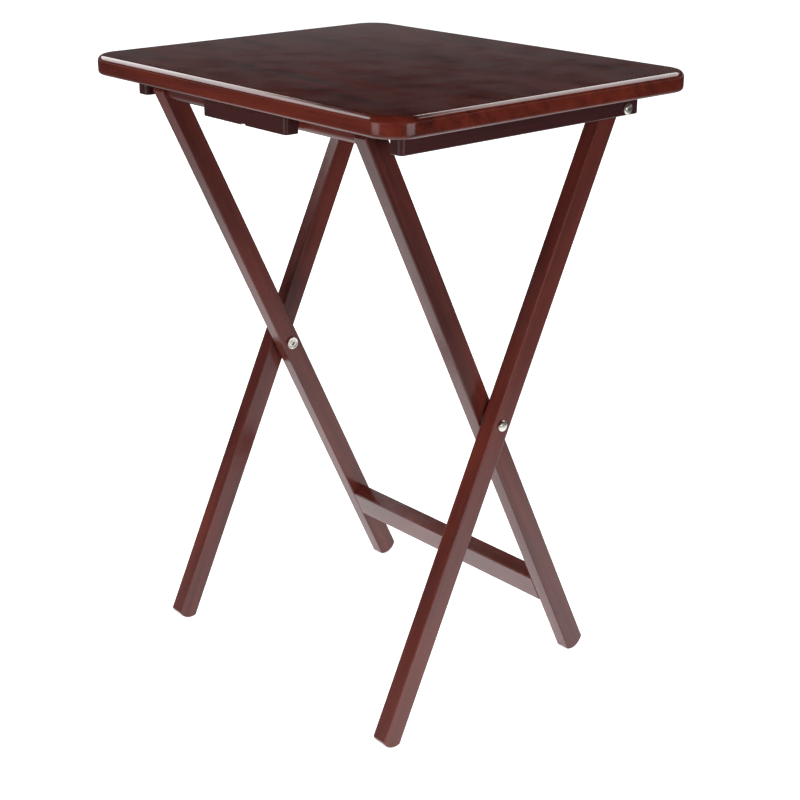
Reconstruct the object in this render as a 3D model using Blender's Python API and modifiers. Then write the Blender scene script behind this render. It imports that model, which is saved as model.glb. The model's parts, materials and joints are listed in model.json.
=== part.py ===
"""Folding tray table: a rounded wooden top on two crossed pairs of legs that fold like scissors.

Metres, +Z up. The origin is on the floor under the middle of the top. +X runs along the long side of
the top and +Y along its depth. The outer pair of legs leans towards +Y and carries the top on two
pivot bolts. The inner pair leans towards -Y, and its round crossbar rests behind the catch block.
"""

import math

import bmesh
import bpy
from mathutils import Matrix, Vector

# Whole table
HEIGHT = 0.660
TOP_WIDTH = 0.495
TOP_DEPTH = 0.402
TOP_THICKNESS = 0.020
TOP_CORNER_RADIUS = 0.032
TOP_UPPER_ROUND = 0.0065
TOP_LOWER_ROUND = 0.004
UNDERSIDE = HEIGHT - TOP_THICKNESS

# Legs: flat bars whose ends are shallow arcs
LEG_THICKNESS = 0.018
LEG_WIDTH = 0.024
END_RADIUS = 0.7 * LEG_WIDTH
OUTER_LEG_X = 0.185
INNER_LEG_X = 0.164
LEAN = math.atan(0.474)
CROSSING_Y = -0.008
CROSSING_Z = 0.318
PIVOT_Z = 0.6245
DOWEL_Z = 0.626
END_BEYOND_AXIS = LEG_WIDTH / 2

# Crossbars of the inner pair
DOWEL_RADIUS = 0.008
DOWEL_DEPTH = 0.009
STRETCHER_HEIGHT = 0.035
STRETCHER_THICKNESS = 0.018
STRETCHER_BELOW_CROSSING = 0.2535
PIN_RADIUS = 0.004
PIN_SPACING = 0.018
PIN_IN_LEG = 0.012
PIN_IN_STRETCHER = 0.018

# Cleats and catch block under the top
CLEAT_THICKNESS = 0.018
CLEAT_HEIGHT = 0.0222
CLEAT_NEAR_Y = -0.161
CLEAT_FAR_Y = 0.155
CLEAT_CORNER_RADIUS = 0.005
WASHER_THICKNESS = 0.0009
CATCH_LENGTH = 0.136
CATCH_BOTTOM_Z = 0.6165
CATCH_THICKNESS = 0.015
CATCH_HOOK = 0.016
CATCH_CORNER_RADIUS = 0.004
SEAT_CLEARANCE = 0.0005
NOTCH_RADIUS = 0.006
NOTCH_DEPTH = 0.0022

# Metal fittings
BOLT_RADIUS = 0.003
BOLT_HEAD_RADIUS = 0.006
BOLT_HEAD_HEIGHT = 0.003
SPACER_RADIUS = 0.008
NUT_FLANGE_RADIUS = 0.0072
NUT_FLANGE_THICKNESS = 0.002
NUT_SLEEVE_RADIUS = 0.004
INSERT_RADIUS = 0.0045
INSERT_LENGTH = 0.0122
SOCKET_ACROSS_CORNERS = 0.0058
SOCKET_DEPTH = 0.0018
SCREW_SHANK_RADIUS = 0.002
SCREW_HEAD_RADIUS = 0.004
SCREW_HEAD_HEIGHT = 0.0025
SCREW_HEAD_RECESS = 0.003
SCREW_BITE = 0.011
CLEAT_SCREWS_Y = (-0.130, -0.010, 0.105)
CATCH_SCREW_X = 0.045

GAP = 0.0003
EASED_EDGE = 0.0015
CURVE_STEPS = 24
CLEAT_INNER_X = OUTER_LEG_X + LEG_THICKNESS / 2 + 2 * GAP + WASHER_THICKNESS
CLEAT_OUTER_X = CLEAT_INNER_X + CLEAT_THICKNESS
CLEAT_CENTRE_X = (CLEAT_INNER_X + CLEAT_OUTER_X) / 2
CLEAT_BOTTOM_Z = UNDERSIDE - GAP - CLEAT_HEIGHT
CROSSING_TO_PIVOT = (PIVOT_Z - CROSSING_Z) / math.cos(LEAN)
CROSSING_TO_DOWEL = (DOWEL_Z - CROSSING_Z) / math.cos(LEAN)
PIVOT_Y = CROSSING_Y + CROSSING_TO_PIVOT * math.sin(LEAN)
DOWEL_Y = CROSSING_Y - CROSSING_TO_DOWEL * math.sin(LEAN)
SEAT_RADIUS = DOWEL_RADIUS + SEAT_CLEARANCE
CATCH_BACK_Y = DOWEL_Y - SEAT_RADIUS
CATCH_FRONT_Y = CATCH_BACK_Y - CATCH_THICKNESS
CATCH_SCREW_Y = (CATCH_BACK_Y + CATCH_FRONT_Y) / 2

# Turns a flat outline (X across, Y along) so that X runs along world Y, Y along Z and Z along X
UPRIGHT = Matrix(((0, 0, 1, 0), (1, 0, 0, 0), (0, 1, 0, 0), (0, 0, 0, 1)))


def clear_scene():
    for obj in list(bpy.data.objects):
        bpy.data.objects.remove(obj, do_unlink=True)


def new_collection(name, hidden=False):
    collection = bpy.data.collections.new(name)
    collection.hide_render = hidden
    bpy.context.scene.collection.children.link(collection)
    return collection


clear_scene()
PARTS = new_collection("folding_tray_table")
CUTTERS = new_collection("cutters", hidden=True)


def surface(name, colour, roughness, metallic=0.0):
    material = bpy.data.materials.new(name)
    material.use_nodes = True
    shader = material.node_tree.nodes["Principled BSDF"]
    shader.inputs["Base Color"].default_value = (*colour, 1.0)
    shader.inputs["Roughness"].default_value = roughness
    shader.inputs["Metallic"].default_value = metallic
    material.diffuse_color = (*colour, 1.0)
    return material


TOP_WOOD = surface("top_wood", (0.045, 0.018, 0.020), 0.35)
LEG_WOOD = surface("leg_wood", (0.100, 0.035, 0.030), 0.40)
RAIL_WOOD = surface("rail_wood", (0.040, 0.017, 0.022), 0.45)
STEEL = surface("nickel_steel", (0.75, 0.72, 0.68), 0.25, 1.0)
NYLON = surface("nylon", (0.70, 0.68, 0.64), 0.50)


def frame(name, y, z, lean):
    """An empty on a joint's axis, turned about X, that the pieces of one pair of legs hang from."""
    empty = bpy.data.objects.new(name, None)
    empty.location = (0, y, z)
    empty.rotation_euler = (lean, 0, 0)
    PARTS.objects.link(empty)
    return empty


def add_piece(name, mesh, material, parent=None, location=(0, 0, 0)):
    piece = bpy.data.objects.new(name, mesh)
    mesh.materials.clear()
    mesh.materials.append(material)
    piece.location = location
    piece.parent = parent
    PARTS.objects.link(piece)
    return piece


def bevel_edges(mesh, edges, radius, steps):
    bmesh.ops.bevel(mesh, geom=edges, offset=radius, segments=steps, profile=0.5, affect="EDGES")


def edges_where(mesh, test):
    """The edges of which both ends pass a test on their position."""
    return [edge for edge in mesh.edges if all(test(vertex.co) for vertex in edge.verts)]


def block_mesh(name, low, high):
    """A box between two corners, as an open bmesh for more work."""
    mesh = bmesh.new()
    bmesh.ops.create_cube(mesh, size=1)
    size = Vector(high) - Vector(low)
    middle = (Vector(high) + Vector(low)) / 2
    bmesh.ops.scale(mesh, vec=size, verts=mesh.verts)
    bmesh.ops.translate(mesh, vec=middle, verts=mesh.verts)
    mesh.normal_update()
    return mesh


def finished(mesh, name):
    """Stores a bmesh as a mesh that is shaded smooth up to its real corners."""
    bmesh.ops.recalc_face_normals(mesh, faces=mesh.faces)
    data = bpy.data.meshes.new(name)
    mesh.to_mesh(data)
    mesh.free()
    data.shade_smooth()
    data.set_sharp_from_angle(angle=math.radians(35))
    return data


def ease_edges(piece, width=EASED_EDGE):
    """Takes the sharpness off the long edges, and leaves the shallow corners of rounded ends."""
    bevel = piece.modifiers.new("eased_edges", "BEVEL")
    bevel.width = width
    bevel.segments = 2
    bevel.limit_method = "ANGLE"
    bevel.angle_limit = math.radians(60)


def cylinder_mesh(name, radius, start, end, sides=CURVE_STEPS):
    """A round bar between two points."""
    mesh = bmesh.new()
    along = Vector(end) - Vector(start)
    turn = Vector((0, 0, 1)).rotation_difference(along).to_matrix().to_4x4()
    place = Matrix.Translation((Vector(start) + Vector(end)) / 2) @ turn
    bmesh.ops.create_cone(
        mesh,
        cap_ends=True,
        segments=sides,
        radius1=radius,
        radius2=radius,
        depth=along.length,
        matrix=place,
    )
    return finished(mesh, name)


def cut_round(piece, name, radius, start, end, sides=CURVE_STEPS):
    """Bores a hole between two points of the piece's own frame."""
    cutter = bpy.data.objects.new(name, cylinder_mesh(name, radius, start, end, sides))
    cutter.hide_render = True
    cutter.display_type = "WIRE"
    cutter.parent = piece
    CUTTERS.objects.link(cutter)
    boolean = piece.modifiers.new(name, "BOOLEAN")
    boolean.operation = "DIFFERENCE"
    boolean.solver = "EXACT"
    boolean.object = cutter


def extruded(name, outlines, thickness):
    """A flat outline with half the thickness on each side, as a closed mesh."""
    curve = bpy.data.curves.new(name, "CURVE")
    curve.dimensions = "2D"
    curve.fill_mode = "BOTH"
    curve.extrude = thickness / 2
    for points in outlines:
        spline = curve.splines.new("POLY")
        spline.points.add(len(points) - 1)
        for point, (x, y) in zip(spline.points, points):
            point.co = (x, y, 0, 1)
        spline.use_cyclic_u = True
    guide = bpy.data.objects.new(name + "_outline", curve)
    PARTS.objects.link(guide)
    bpy.context.view_layer.update()
    graph = bpy.context.evaluated_depsgraph_get()
    data = bpy.data.meshes.new_from_object(guide.evaluated_get(graph))
    bpy.data.objects.remove(guide, do_unlink=True)
    mesh = bmesh.new()
    mesh.from_mesh(data)
    bpy.data.meshes.remove(data)
    bmesh.ops.remove_doubles(mesh, verts=mesh.verts, dist=0.00001)
    bmesh.ops.dissolve_limit(
        mesh, angle_limit=math.radians(1), verts=mesh.verts, edges=mesh.edges
    )
    bmesh.ops.transform(mesh, matrix=UPRIGHT, verts=mesh.verts)
    return finished(mesh, name)


def turned(name, profile, material, parent, location, outward):
    """A round fitting: a profile of (radius, distance along the axis), turned about an axis along X."""
    mesh = bmesh.new()
    points = [mesh.verts.new((radius, 0, along)) for radius, along in profile]
    for first, second in zip(points, points[1:]):
        mesh.edges.new((first, second))
    if profile[0][0] > 0:
        mesh.edges.new((points[-1], points[0]))
    data = bpy.data.meshes.new(name)
    mesh.to_mesh(data)
    mesh.free()
    piece = add_piece(name, data, material, parent, location)
    piece.rotation_euler = (0, math.radians(90) * outward, 0)
    screw = piece.modifiers.new("turning", "SCREW")
    screw.axis = "Z"
    screw.steps = CURVE_STEPS
    screw.render_steps = CURVE_STEPS
    screw.use_merge_vertices = True
    screw.merge_threshold = 0.00001
    screw.use_smooth_shade = True
    return piece


def arc(centre_x, centre_y, radius, start, end, steps):
    """Points along an arc, with angles in degrees."""
    angles = [math.radians(start + (end - start) * step / steps) for step in range(steps + 1)]
    return [(centre_x + radius * math.cos(a), centre_y + radius * math.sin(a)) for a in angles]


# ---- Top, cleats and catch block ----


def drill_for_screw(piece, name, x, y, head_z):
    """Room for a screw that is driven upwards from head_z, its head sunk below the surface."""
    shank_start = (x, y, head_z - SCREW_HEAD_RECESS)
    shank_end = (x, y, UNDERSIDE + GAP)
    cut_round(piece, name + "_clearance", SCREW_SHANK_RADIUS + GAP, shank_start, shank_end, 16)
    sunk_start = (x, y, head_z - SCREW_HEAD_RECESS - 0.002)
    sunk_end = (x, y, head_z + SCREW_HEAD_HEIGHT + GAP)
    cut_round(piece, name + "_counterbore", SCREW_HEAD_RADIUS + GAP, sunk_start, sunk_end, 16)


def make_tabletop(screws):
    low = (-TOP_WIDTH / 2, -TOP_DEPTH / 2, UNDERSIDE)
    high = (TOP_WIDTH / 2, TOP_DEPTH / 2, HEIGHT)
    mesh = block_mesh("tabletop", low, high)
    corners = [e for e in mesh.edges if abs(e.verts[0].co.z - e.verts[1].co.z) > 0.001]
    bevel_edges(mesh, corners, TOP_CORNER_RADIUS, 8)
    rim = edges_where(mesh, lambda co: co.z > HEIGHT - 0.0001)
    bevel_edges(mesh, rim, TOP_UPPER_ROUND, 4)
    foot = edges_where(mesh, lambda co: co.z < UNDERSIDE + 0.0001)
    bevel_edges(mesh, foot, TOP_LOWER_ROUND, 3)
    piece = add_piece("tabletop", finished(mesh, "tabletop"), TOP_WOOD)
    for number, (x, y) in enumerate(screws):
        start = (x, y, UNDERSIDE - 0.002)
        end = (x, y, UNDERSIDE + SCREW_BITE)
        cut_round(piece, f"pilot_{number}", SCREW_SHANK_RADIUS + GAP, start, end, 16)


def make_cleat(side, sign):
    inner = sign * CLEAT_INNER_X
    outer = sign * CLEAT_OUTER_X
    low = (min(inner, outer), CLEAT_NEAR_Y, CLEAT_BOTTOM_Z)
    high = (max(inner, outer), CLEAT_FAR_Y, UNDERSIDE - GAP)
    mesh = block_mesh("cleat", low, high)
    corners = [e for e in mesh.edges if abs(e.verts[0].co.z - e.verts[1].co.z) > 0.001]
    bevel_edges(mesh, corners, CLEAT_CORNER_RADIUS, 4)
    foot = edges_where(mesh, lambda co: co.z < CLEAT_BOTTOM_Z + 0.0001)
    bevel_edges(mesh, foot, EASED_EDGE, 2)
    piece = add_piece(f"cleat_{side}", finished(mesh, "cleat"), RAIL_WOOD)
    start = (sign * (CLEAT_INNER_X - 0.005), PIVOT_Y, PIVOT_Z)
    end = (sign * (CLEAT_OUTER_X + 0.005), PIVOT_Y, PIVOT_Z)
    cut_round(piece, f"cleat_{side}_pivot_hole", BOLT_RADIUS + GAP, start, end)
    for number, y in enumerate(CLEAT_SCREWS_Y):
        name = f"cleat_{side}_screw_{number}"
        drill_for_screw(piece, name, sign * CLEAT_CENTRE_X, y, CLEAT_BOTTOM_Z + SCREW_HEAD_RECESS)


def make_catch_block():
    """A block behind which the crossbar sits. Its hollow is open below and towards the legs."""
    top = UNDERSIDE - GAP
    hook_y = DOWEL_Y - SEAT_RADIUS + CATCH_HOOK
    seat = arc(DOWEL_Y, DOWEL_Z, SEAT_RADIUS, 180, 90, 8)
    outline = [(CATCH_FRONT_Y, CATCH_BOTTOM_Z), (CATCH_BACK_Y, CATCH_BOTTOM_Z)]
    outline += seat
    outline += [(hook_y, seat[-1][1]), (hook_y, top), (CATCH_FRONT_Y, top)]
    data = extruded("catch_block", [outline], CATCH_LENGTH)
    mesh = bmesh.new()
    mesh.from_mesh(data)
    bpy.data.meshes.remove(data)
    front = CATCH_FRONT_Y + 0.0001
    upright = [e for e in edges_where(mesh, lambda co: co.y < front) if is_upright(e)]
    bevel_edges(mesh, upright, CATCH_CORNER_RADIUS, 4)
    piece = add_piece("catch_block", finished(mesh, "catch_block"), RAIL_WOOD)
    notch_z = CATCH_BOTTOM_Z - NOTCH_RADIUS + NOTCH_DEPTH
    start = (0, CATCH_FRONT_Y - 0.005, notch_z)
    end = (0, CATCH_BACK_Y + 0.005, notch_z)
    cut_round(piece, "catch_notch", NOTCH_RADIUS, start, end)
    for number, x in enumerate((-CATCH_SCREW_X, CATCH_SCREW_X)):
        head_z = CATCH_BOTTOM_Z + SCREW_HEAD_RECESS
        drill_for_screw(piece, f"catch_screw_{number}", x, CATCH_SCREW_Y, head_z)


def is_upright(edge):
    return abs(edge.verts[0].co.z - edge.verts[1].co.z) > 0.001


def make_screw(name, x, y, bottom_z):
    """A countersunk wood screw that stands head down, without its thread."""
    head = bottom_z + SCREW_HEAD_RECESS
    tip = UNDERSIDE + SCREW_BITE - GAP - head
    profile = [
        (0, tip),
        (SCREW_SHANK_RADIUS * 0.3, tip),
        (SCREW_SHANK_RADIUS, tip - 0.004),
        (SCREW_SHANK_RADIUS, SCREW_HEAD_HEIGHT),
        (SCREW_HEAD_RADIUS, 0.0004),
        (SCREW_HEAD_RADIUS, 0),
        (0, 0),
    ]
    piece = turned(name, profile, STEEL, None, (x, y, head), 0)
    piece.modifiers["turning"].steps = 16
    piece.modifiers["turning"].render_steps = 16


# ---- Legs ----


def end_angles(steps=8):
    """Angles of the points of a leg's end arc, from its middle."""
    half = math.asin(LEG_WIDTH / 2 / END_RADIUS)
    return [half * (2 * step / steps - 1) for step in range(steps + 1)]


def foot_reach():
    """Distance along the leg from the crossing to the middle of its foot's arc."""
    lowest = END_RADIUS * max(math.cos(angle - LEAN) for angle in end_angles())
    return (CROSSING_Z - lowest) / math.cos(LEAN)


def leg_outline(top_end):
    """Outline of a leg, X across and Y along, with the crossing at the origin."""
    foot = -foot_reach()
    head = top_end - END_RADIUS
    lower = [(END_RADIUS * math.sin(a), foot - END_RADIUS * math.cos(a)) for a in end_angles()]
    upper = [(-END_RADIUS * math.sin(a), head + END_RADIUS * math.cos(a)) for a in end_angles()]
    return lower + upper


def make_outer_leg(side, sign, outer):
    top_end = CROSSING_TO_PIVOT + END_BEYOND_AXIS
    mesh = extruded("outer_leg", [leg_outline(top_end)], LEG_THICKNESS)
    piece = add_piece(f"outer_leg_{side}", mesh, LEG_WOOD, outer, (sign * OUTER_LEG_X, 0, 0))
    ease_edges(piece)
    face = sign * (LEG_THICKNESS / 2 + 0.005)
    cut_round(piece, f"outer_{side}_crossing_hole", BOLT_RADIUS + GAP, (-face, 0, 0), (face, 0, 0))
    axis = CROSSING_TO_PIVOT
    cut_round(piece, f"outer_{side}_pivot_hole", BOLT_RADIUS + GAP, (-face, 0, axis), (face, 0, axis))
    socket_end = sign * (-LEG_THICKNESS / 2 + INSERT_LENGTH + 2 * GAP)
    hole = INSERT_RADIUS + GAP
    cut_round(piece, f"outer_{side}_insert_hole", hole, (-face, 0, axis), (socket_end, 0, axis))


def make_inner_leg(side, sign, inner):
    top_end = CROSSING_TO_DOWEL + END_BEYOND_AXIS
    mesh = extruded("inner_leg", [leg_outline(top_end)], LEG_THICKNESS)
    piece = add_piece(f"inner_leg_{side}", mesh, LEG_WOOD, inner, (sign * INNER_LEG_X, 0, 0))
    ease_edges(piece)
    face = sign * (LEG_THICKNESS / 2 + 0.005)
    sleeve_hole = NUT_SLEEVE_RADIUS + GAP
    cut_round(piece, f"inner_{side}_crossing_hole", sleeve_hole, (-face, 0, 0), (face, 0, 0))
    bottom = sign * (-LEG_THICKNESS / 2 + DOWEL_DEPTH + GAP)
    axis = CROSSING_TO_DOWEL
    hole = DOWEL_RADIUS + GAP
    cut_round(piece, f"inner_{side}_dowel_hole", hole, (-face, 0, axis), (bottom, 0, axis))
    bottom = sign * (-LEG_THICKNESS / 2 + PIN_IN_LEG + GAP)
    for number, (y, z) in enumerate(pin_places()):
        name = f"inner_{side}_pin_hole_{number}"
        cut_round(piece, name, PIN_RADIUS + GAP, (-face, y, z), (bottom, y, z), 16)


# ---- Crossbars ----


def stretcher_middle():
    """Middle of the stretcher's section in the inner legs' frame: its front is flush with theirs."""
    return (STRETCHER_THICKNESS - LEG_WIDTH) / 2, -STRETCHER_BELOW_CROSSING


def pin_places():
    y, z = stretcher_middle()
    return [(y, z - PIN_SPACING / 2), (y, z + PIN_SPACING / 2)]


def make_dowel(inner):
    half = INNER_LEG_X - LEG_THICKNESS / 2 + DOWEL_DEPTH
    mesh = cylinder_mesh("top_dowel", DOWEL_RADIUS, (-half, 0, 0), (half, 0, 0), 32)
    add_piece("top_dowel", mesh, LEG_WOOD, inner, (0, 0, CROSSING_TO_DOWEL))


def make_stretcher(inner):
    half = INNER_LEG_X - LEG_THICKNESS / 2 - GAP
    y, z = stretcher_middle()
    low = (-half, y - STRETCHER_THICKNESS / 2, z - STRETCHER_HEIGHT / 2)
    high = (half, y + STRETCHER_THICKNESS / 2, z + STRETCHER_HEIGHT / 2)
    mesh = block_mesh("stretcher", low, high)
    long_edges = [e for e in mesh.edges if abs(e.verts[0].co.x - e.verts[1].co.x) > 0.001]
    bevel_edges(mesh, long_edges, EASED_EDGE, 2)
    piece = add_piece("stretcher", finished(mesh, "stretcher"), LEG_WOOD, inner)
    for side, sign in (("left", -1), ("right", 1)):
        for number, (pin_y, pin_z) in enumerate(pin_places()):
            start = (sign * (half + 0.005), pin_y, pin_z)
            end = (sign * (half - PIN_IN_STRETCHER - GAP), pin_y, pin_z)
            name = f"stretcher_{side}_pin_hole_{number}"
            cut_round(piece, name, PIN_RADIUS + GAP, start, end, 16)


def make_pins(side, sign, inner):
    joint = sign * (INNER_LEG_X - LEG_THICKNESS / 2)
    for place, (y, z) in zip(("lower", "upper"), pin_places()):
        start = (joint - sign * PIN_IN_STRETCHER, y, z)
        end = (joint + sign * PIN_IN_LEG, y, z)
        name = f"stretcher_pin_{side}_{place}"
        add_piece(name, cylinder_mesh(name, PIN_RADIUS, start, end, 16), LEG_WOOD, inner)


# ---- Metal fittings ----


def dome(radius, height, steps=5):
    """Profile of a domed head from its crown down to its rim, standing on along = 0."""
    points = []
    for step in range(steps + 1):
        angle = math.radians(90 * step / steps)
        points.append((radius * math.sin(angle), 0.0006 + (height - 0.0006) * math.cos(angle)))
    return points + [(radius, 0)]


def make_bolt(name, length, x, sign, parent, z):
    profile = dome(BOLT_HEAD_RADIUS, BOLT_HEAD_HEIGHT)
    profile += [(BOLT_RADIUS, 0), (BOLT_RADIUS, -length), (0, -length)]
    turned(name, profile, STEEL, parent, (sign * x, 0, z), sign)


def ring_profile(outer, inner, thickness):
    return [(outer, thickness), (outer, 0), (inner, 0), (inner, thickness)]


def make_crossing_hardware(side, sign, outer, inner):
    outer_face = OUTER_LEG_X + LEG_THICKNESS / 2
    spacer_start = INNER_LEG_X + LEG_THICKNESS / 2 + GAP
    spacer_end = OUTER_LEG_X - LEG_THICKNESS / 2 - GAP
    nut_face = INNER_LEG_X - LEG_THICKNESS / 2 - GAP
    bolt_end = INNER_LEG_X + 0.0005
    make_bolt(
        f"crossing_bolt_{side}", outer_face + GAP - bolt_end, outer_face + GAP, sign, outer, 0
    )
    spacer = ring_profile(SPACER_RADIUS, BOLT_RADIUS + GAP, spacer_end - spacer_start)
    place = (sign * spacer_start, 0, 0)
    turned(f"crossing_spacer_{side}", spacer, NYLON, outer, place, sign)
    sleeve_end = LEG_THICKNESS - 2 * GAP
    bore_end = bolt_end - nut_face - 0.002
    profile = [
        (0, bore_end),
        (BOLT_RADIUS + GAP, bore_end),
        (BOLT_RADIUS + GAP, sleeve_end),
        (NUT_SLEEVE_RADIUS, sleeve_end),
        (NUT_SLEEVE_RADIUS, 0),
        (NUT_FLANGE_RADIUS, 0),
        (NUT_FLANGE_RADIUS, -NUT_FLANGE_THICKNESS),
        (0, -NUT_FLANGE_THICKNESS),
    ]
    name = f"crossing_nut_{side}"
    nut = turned(name, profile, STEEL, inner, (sign * nut_face, 0, 0), sign)
    start = (0, 0, -NUT_FLANGE_THICKNESS - 0.002)
    end = (0, 0, -NUT_FLANGE_THICKNESS + SOCKET_DEPTH)
    cut_round(nut, name + "_socket", SOCKET_ACROSS_CORNERS / 2, start, end, 6)


def make_pivot_hardware(side, sign, outer):
    head_face = CLEAT_OUTER_X + GAP
    leg_outer_face = OUTER_LEG_X + LEG_THICKNESS / 2
    leg_inner_face = OUTER_LEG_X - LEG_THICKNESS / 2
    bolt_end = leg_inner_face + 0.0025
    axis = CROSSING_TO_PIVOT
    make_bolt(f"pivot_bolt_{side}", head_face - bolt_end, head_face, sign, outer, axis)
    washer = ring_profile(BOLT_HEAD_RADIUS + 0.001, BOLT_RADIUS + GAP, WASHER_THICKNESS)
    place = (sign * (leg_outer_face + GAP), 0, axis)
    turned(f"pivot_washer_{side}", washer, STEEL, outer, place, sign)
    insert = ring_profile(INSERT_RADIUS, BOLT_RADIUS + GAP, INSERT_LENGTH)
    place = (sign * (leg_inner_face + GAP), 0, axis)
    turned(f"pivot_insert_{side}", insert, STEEL, outer, place, sign)


def make_table():
    outer = frame("outer_legs_axis", CROSSING_Y, CROSSING_Z, -LEAN)
    inner = frame("inner_legs_axis", CROSSING_Y, CROSSING_Z, LEAN)
    catch_screws = [(x, CATCH_SCREW_Y) for x in (-CATCH_SCREW_X, CATCH_SCREW_X)]
    cleat_screws = [(s * CLEAT_CENTRE_X, y) for s in (-1, 1) for y in CLEAT_SCREWS_Y]
    make_tabletop(catch_screws + cleat_screws)
    make_catch_block()
    for side, (x, y) in zip(("left", "right"), catch_screws):
        make_screw(f"catch_screw_{side}", x, y, CATCH_BOTTOM_Z)
    make_dowel(inner)
    make_stretcher(inner)
    for side, sign in (("left", -1), ("right", 1)):
        make_cleat(side, sign)
        for place, y in zip(("near", "middle", "far"), CLEAT_SCREWS_Y):
            make_screw(f"cleat_screw_{side}_{place}", sign * CLEAT_CENTRE_X, y, CLEAT_BOTTOM_Z)
        make_outer_leg(side, sign, outer)
        make_inner_leg(side, sign, inner)
        make_pins(side, sign, inner)
        make_crossing_hardware(side, sign, outer, inner)
        make_pivot_hardware(side, sign, outer)


make_table()
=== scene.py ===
# %% [markdown]
# # A folding tray table, from its frame to its finish
# The table is a dark stained wooden top on two pairs of legs that cross and fold like scissors.
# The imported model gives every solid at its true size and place, and its joints. Nothing here moves
# it: each visible piece is modelled again, finer, where the model says that it is, and then rides
# on the same body, so that it folds with it. All sizes are in metres.

# %% Load the frame
import json
import math

import bmesh
import bpy
from mathutils import Matrix, Vector

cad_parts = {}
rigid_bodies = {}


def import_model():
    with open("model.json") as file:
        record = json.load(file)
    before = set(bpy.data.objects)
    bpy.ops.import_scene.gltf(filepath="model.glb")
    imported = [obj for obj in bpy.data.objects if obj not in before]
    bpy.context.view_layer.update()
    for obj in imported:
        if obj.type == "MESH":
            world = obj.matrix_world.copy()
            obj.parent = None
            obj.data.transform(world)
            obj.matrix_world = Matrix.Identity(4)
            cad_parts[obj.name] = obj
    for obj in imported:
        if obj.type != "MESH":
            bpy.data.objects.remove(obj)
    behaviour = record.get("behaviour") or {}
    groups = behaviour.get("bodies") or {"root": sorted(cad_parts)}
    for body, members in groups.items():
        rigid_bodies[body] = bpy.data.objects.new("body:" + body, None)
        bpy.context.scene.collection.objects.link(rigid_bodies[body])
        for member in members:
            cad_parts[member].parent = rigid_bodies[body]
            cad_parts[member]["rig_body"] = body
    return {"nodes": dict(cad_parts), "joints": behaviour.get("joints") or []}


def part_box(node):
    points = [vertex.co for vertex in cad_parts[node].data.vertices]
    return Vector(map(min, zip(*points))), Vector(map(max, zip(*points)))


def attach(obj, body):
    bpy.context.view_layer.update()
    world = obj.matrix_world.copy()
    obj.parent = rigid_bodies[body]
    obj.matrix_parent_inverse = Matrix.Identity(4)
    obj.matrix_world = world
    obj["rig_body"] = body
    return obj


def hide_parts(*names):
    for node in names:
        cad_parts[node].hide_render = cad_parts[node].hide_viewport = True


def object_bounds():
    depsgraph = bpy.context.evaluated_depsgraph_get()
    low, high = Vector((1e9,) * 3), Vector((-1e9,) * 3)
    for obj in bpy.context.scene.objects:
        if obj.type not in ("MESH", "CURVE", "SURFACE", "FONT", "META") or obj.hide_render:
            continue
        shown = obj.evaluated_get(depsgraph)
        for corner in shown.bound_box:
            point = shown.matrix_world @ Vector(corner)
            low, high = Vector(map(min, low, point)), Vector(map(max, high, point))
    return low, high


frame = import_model()
cad_low, cad_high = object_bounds()
print("table:", [round(1000 * side) for side in cad_high - cad_low], "mm")

# %% [markdown]
# Two points carry all the geometry of the legs: the pivot bolts under the top and the bolts where
# the pairs cross. The joints give both, and the lean of the legs follows from them. The outer pair
# leans back by that angle, and the inner pair leans forward by the same.

# %% Joint axes and the lean of the legs
joints = {joint["name"]: joint for joint in frame["joints"]}
PIVOT = Vector(joints["top_turn"]["pos_m"])
CROSSING = Vector(joints["leg_fold"]["pos_m"])
LEAN = math.atan2(PIVOT.y - CROSSING.y, PIVOT.z - CROSSING.z)
SIDES = (("left", -1), ("right", 1))
print("lean:", round(math.degrees(LEAN), 2), "degrees")


def corners(node, turn=0.0, about=Vector()):
    """Lowest and highest corners of a CAD node, in a frame that is turned about X at a point."""
    upright = Matrix.Rotation(-turn, 3, "X")
    points = [upright @ (vertex.co - about) for vertex in frame["nodes"][node].data.vertices]
    return Vector(map(min, zip(*points))), Vector(map(max, zip(*points)))


# %% [markdown]
# The camera looks down on a front corner from a little above the top, through a long lens, as a
# catalogue shows a small table. Its place is set once, and it isn't tied to the object.

# %% Camera
CAMERA_PLACE = Vector((1.261, -1.076, 0.915))
CAMERA_AZIMUTH = math.radians(48.9)
CAMERA_ELEVATION = math.radians(20.7)
camera_data = bpy.data.cameras.new("camera")
camera_data.lens = 72.0
camera = bpy.data.objects.new("camera", camera_data)
bpy.context.scene.collection.objects.link(camera)
flat = math.cos(CAMERA_ELEVATION)
ahead = -Vector((math.sin(CAMERA_AZIMUTH) * flat, -math.cos(CAMERA_AZIMUTH) * flat,
                 math.sin(CAMERA_ELEVATION)))
camera.location = CAMERA_PLACE
camera.rotation_euler = ahead.to_track_quat("-Z", "Y").to_euler()
bpy.context.scene.camera = camera
print("camera:", [round(side, 2) for side in CAMERA_PLACE], "m, lens", camera_data.lens, "mm")

# %% [markdown]
# Dark lacquered wood shows its shape by soft highlights along its rounded edges, so the light
# comes from wide panels. Three of them, in front, on the right and above, only fill: glossy faces
# don't mirror them, or the flat faces would turn grey. Two low strips give the upright rounded
# corners a faint highlight. Two high panels, on the left and behind, lie where the rounded rims of
# the top mirror them.

# %% Light


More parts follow.
